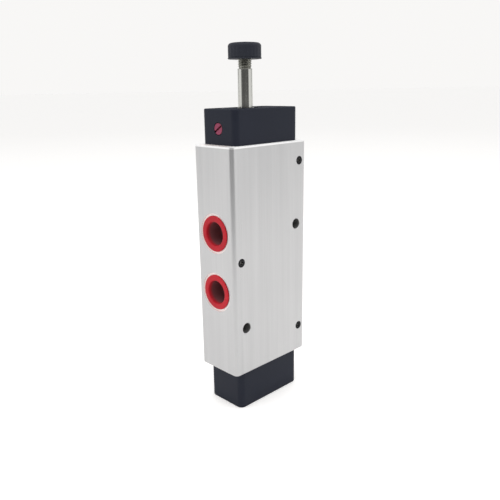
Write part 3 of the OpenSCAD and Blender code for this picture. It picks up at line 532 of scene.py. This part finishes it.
def make_fixed_core():
    """Turned core: shading ring groove at its foot, rounded shoulder, and a neck with a helical thread."""
    neck_r, neck_len = 4.5, 9.0
    pitch, depth, foot = 1.0, 0.6, 0.5
    tube_r = (CORE_HIGH.x - CORE_LOW.x) / 2 / MM
    core_r = tube_r - 0.55
    core_len = (CORE_HIGH.z - CORE_LOW.z) / MM - neck_len
    root_r = neck_r - depth
    steps = 96
    groove_in, groove_out, groove_top = 2.15, 3.05, 0.8 - core_len
    below = rounded([
        (0, -core_len, 0), (groove_in, -core_len, 0), (groove_in, groove_top, 0),
        (groove_out, groove_top, 0), (groove_out, -core_len, 0), (core_r, -core_len, 0.3),
        (core_r, -0.5, 0), (tube_r, -0.5, 0), (tube_r, 0, 0.42),
        (root_r - 0.1, 0, 0.2), (root_r - 0.1, foot - 0.1, 0), (root_r, foot, 0)])

    def thread_r(rise, height):
        return root_r + min(rise * depth, 1.2 * (height - foot), neck_len - height)

    above = [(root_r, neck_len), (root_r * 0.5, neck_len), (0, neck_len)]
    surfaces = [revolve(below, steps), helix(foot, neck_len, pitch, steps, thread_r), revolve(above, steps)]
    place = Matrix.Translation((TUBE_X, 0, CORE_HIGH.z - neck_len * MM))
    make_piece("threaded_core", surfaces, place, "valve", "core_iron", "fixed_core")


def port_place(box):
    """Frame of a port: its origin is on the outer face of the protector, and its Z runs into the body."""
    low, high = box
    side = 1 if low.x > 0 else -1
    turn = Matrix.Rotation(-side * math.pi / 2, 4, "Y")
    return Matrix.Translation((high.x if side > 0 else low.x, 0, (low.z + high.z) / 2)) @ turn


def make_protector(name, box):
    """Flanged cup with a rounded lip, a wide mouth and snap ridges on its barrel."""
    low, high = box
    flange_r, length = (high.z - low.z) / 2 / MM - 0.25, (high.x - low.x) / MM
    flange_t, barrel_r, cup_r, floor_t = 1.0, 9.05, 7.7, 1.2
    ridges = []
    for index in range(4):
        level = flange_t + 1.2 + index * 2.375
        ridges += [
            (barrel_r, level, 0), (barrel_r + 0.25, level + 0.02, 0),
            (barrel_r + 0.2, level + 0.3, 0), (barrel_r, level + 1.4, 0)]
    corners = [
        (0, length - floor_t, 0), (cup_r - 0.4, length - floor_t, 1.2), (cup_r, 2.4, 0),
        (cup_r + 0.35, 0, 0.8), (flange_r, 0, 0.6), (flange_r, flange_t, 0.3), (barrel_r, flange_t, 0.15)]
    corners += ridges + [(barrel_r, length - 1, 0), (barrel_r - 0.7, length, 0.3), (0, length, 0)]
    cup = revolve(rounded(corners, 6), 96)
    make_piece(name + "_cap", [cup], port_place(box), name + "_plug", "red_plastic", name + "_protector")


def make_port_thread(name, box):
    """Thin lining with the ridges of the port's thread, just inside its drilling."""
    wall_r, root_r, rise_h = 9.49, 9.47, 0.09
    first, last, pitch, steps = 2.0, 14.6, 1.814, 96

    def thread_r(rise, height):
        return root_r - min(rise * rise_h, 0.2 * (height - first), 0.2 * (last - height))

    wall = [(root_r, first), (wall_r, first), (wall_r, last), (root_r, last)]
    surfaces = [helix(first, last, pitch, steps, thread_r), revolve(wall, steps)]
    make_piece(name + "_port_thread", surfaces, port_place(box), "valve", "anodised_aluminium")


def make_world():
    """Bright studio surround, with the dim side of the room behind the camera."""
    world = bpy.data.worlds.new("studio")
    bpy.context.scene.world = world
    world.use_nodes = True
    n = Nodes(world.node_tree)
    x, y, z = n.axes(n.place.outputs["Generated"])
    level = n.add("ShaderNodeCombineXYZ", {"X": x, "Y": y})
    heading = n.add("ShaderNodeVectorMath", {0: level.outputs[0]}, operation="NORMALIZE")
    dim_turn = CAMERA_YAW + DIM_SIDE
    toward = (-math.sin(dim_turn), -math.cos(dim_turn), 0.0)
    facing = n.add(
        "ShaderNodeVectorMath", {0: heading.outputs[0], 1: toward}, operation="DOT_PRODUCT").outputs["Value"]
    across = n.remap(facing, math.cos(DIM_FADE), math.cos(DIM_HALF))
    dim = n.ramp(n.math("ADD", z, 0.5), [(height + 0.5, light) for height, light in DIM_HEIGHTS])
    glow = n.math("MULTIPLY_ADD", across, n.math("SUBTRACT", dim, 1.0), 1.0)
    near, far = [math.cos(CARD_TURN + side * CARD_HALF) for side in (-1, 1)]
    card = n.math(
        "MULTIPLY", n.remap(facing, near + 0.05, near - 0.05), n.remap(facing, far - 0.05, far + 0.05))
    card = n.math("MULTIPLY", card, n.remap(n.math("ABSOLUTE", z), 0.5, 0.35))
    glow = n.math("MULTIPLY", glow, n.math("MULTIPLY_ADD", card, CARD_LIGHT - 1.0, 1.0))
    lit = n.add("ShaderNodeBackground", {"Color": (1.0, 1.0, 1.0, 1.0), "Strength": glow})
    seen = n.add("ShaderNodeBackground", {"Color": (0.940, 0.931, 0.920, 1.0), "Strength": 1.0})
    by_camera = n.add("ShaderNodeLightPath").outputs["Is Camera Ray"]
    mixed = n.add("ShaderNodeMixShader", {0: by_camera, 1: lit.outputs[0], 2: seen.outputs[0]})
    n.add("ShaderNodeOutputWorld", {"Surface": mixed.outputs[0]})


def make_floor():
    """Pale floor that runs far behind the object and ends a little way in front of it."""
    away = Vector((math.sin(CAMERA_YAW), math.cos(CAMERA_YAW), 0.0))
    side = Vector((away.y, -away.x, 0.0))
    corners = [
        away * ahead + side * across for ahead, across in (
            (-FLOOR_FRONT, -FLOOR_REACH), (-FLOOR_FRONT, FLOOR_REACH),
            (FLOOR_REACH, FLOOR_REACH), (FLOOR_REACH, -FLOOR_REACH))]
    mesh = bpy.data.meshes.new("floor")
    mesh.from_pydata([tuple(corner) for corner in corners], [], [(0, 1, 2, 3)])
    material, n, surface = new_material("pale_floor")
    cloud = n.noise((6.0, 6.0, 6.0))
    n.put(surface["Base Color"], n.blend(cloud, (0.952, 0.943, 0.932), (0.960, 0.951, 0.940)))
    n.put(surface["Roughness"], 0.9)
    n.put(surface["Specular IOR Level"], 0.0)
    x, y, _ = n.axes(n.place.outputs["Object"])
    # Painted light: for the camera only, the floor glows as a pool of light round the object
    by_camera = n.add("ShaderNodeLightPath").outputs["Is Camera Ray"]
    n.put(surface["Emission Color"], (1.0, 0.99, 0.98, 1.0))
    # The floor is a little brighter near the object, as in the photograph, and lights nothing
    out = n.length(x, y)
    glow = n.math("ADD", n.remap(out, 3.0, 0.6, 0.0, 0.07), n.remap(out, 0.75, 0.3, 0.0, 0.18))
    n.put(surface["Emission Strength"], n.math("MULTIPLY", by_camera, glow))
    mesh.materials.append(material)
    floor = bpy.data.objects.new("floor", mesh)
    bpy.context.scene.collection.objects.link(floor)


def make_soft_light(name, place, size, power):
    aim = Vector((0.0, 0.0, 0.11))
    light = bpy.data.lights.new(name, "AREA")
    light.shape = "DISK"
    light.size = size
    light.energy = power
    lamp = bpy.data.objects.new(name, light)
    turn = (aim - place).to_track_quat("-Z", "Y").to_matrix().to_4x4()
    lamp.matrix_world = Matrix.Translation(place) @ turn
    bpy.context.scene.collection.objects.link(lamp)


def make_camera():
    """Camera at the photograph's place, turned by its yaw, pitch and roll."""
    forward = Vector((
        math.sin(CAMERA_YAW) * math.cos(CAMERA_PITCH),
        math.cos(CAMERA_YAW) * math.cos(CAMERA_PITCH),
        -math.sin(CAMERA_PITCH)))
    level = Vector((math.cos(CAMERA_YAW), -math.sin(CAMERA_YAW), 0.0))
    plumb = forward.cross(level)
    right = level * math.cos(CAMERA_ROLL) + plumb * math.sin(CAMERA_ROLL)
    down = plumb * math.cos(CAMERA_ROLL) - level * math.sin(CAMERA_ROLL)
    data = bpy.data.cameras.new("camera")
    data.sensor_width = CAMERA_SENSOR
    data.lens = CAMERA_LENS
    data.clip_start = 0.01
    data.clip_end = 100.0
    camera = bpy.data.objects.new("camera", data)
    turn = Matrix((right, -down, -forward)).transposed().to_4x4()
    camera.matrix_world = Matrix.Translation(CAMERA_PLACE) @ turn
    bpy.context.scene.collection.objects.link(camera)
    bpy.context.scene.camera = camera


MATERIALS = make_materials()
dress_nodes()
make_body()
make_coil_nut()
make_fixed_core()
for port, port_box in zip(PORTS, PORT_BOXES):
    make_protector(port, port_box)
    make_port_thread(port, port_box)
make_world()
make_floor()
make_soft_light("overhead", Vector((-0.20, -0.20, 1.3)), size=1.2, power=4.5)
make_camera()
bpy.context.scene.view_settings.view_transform = "Standard"
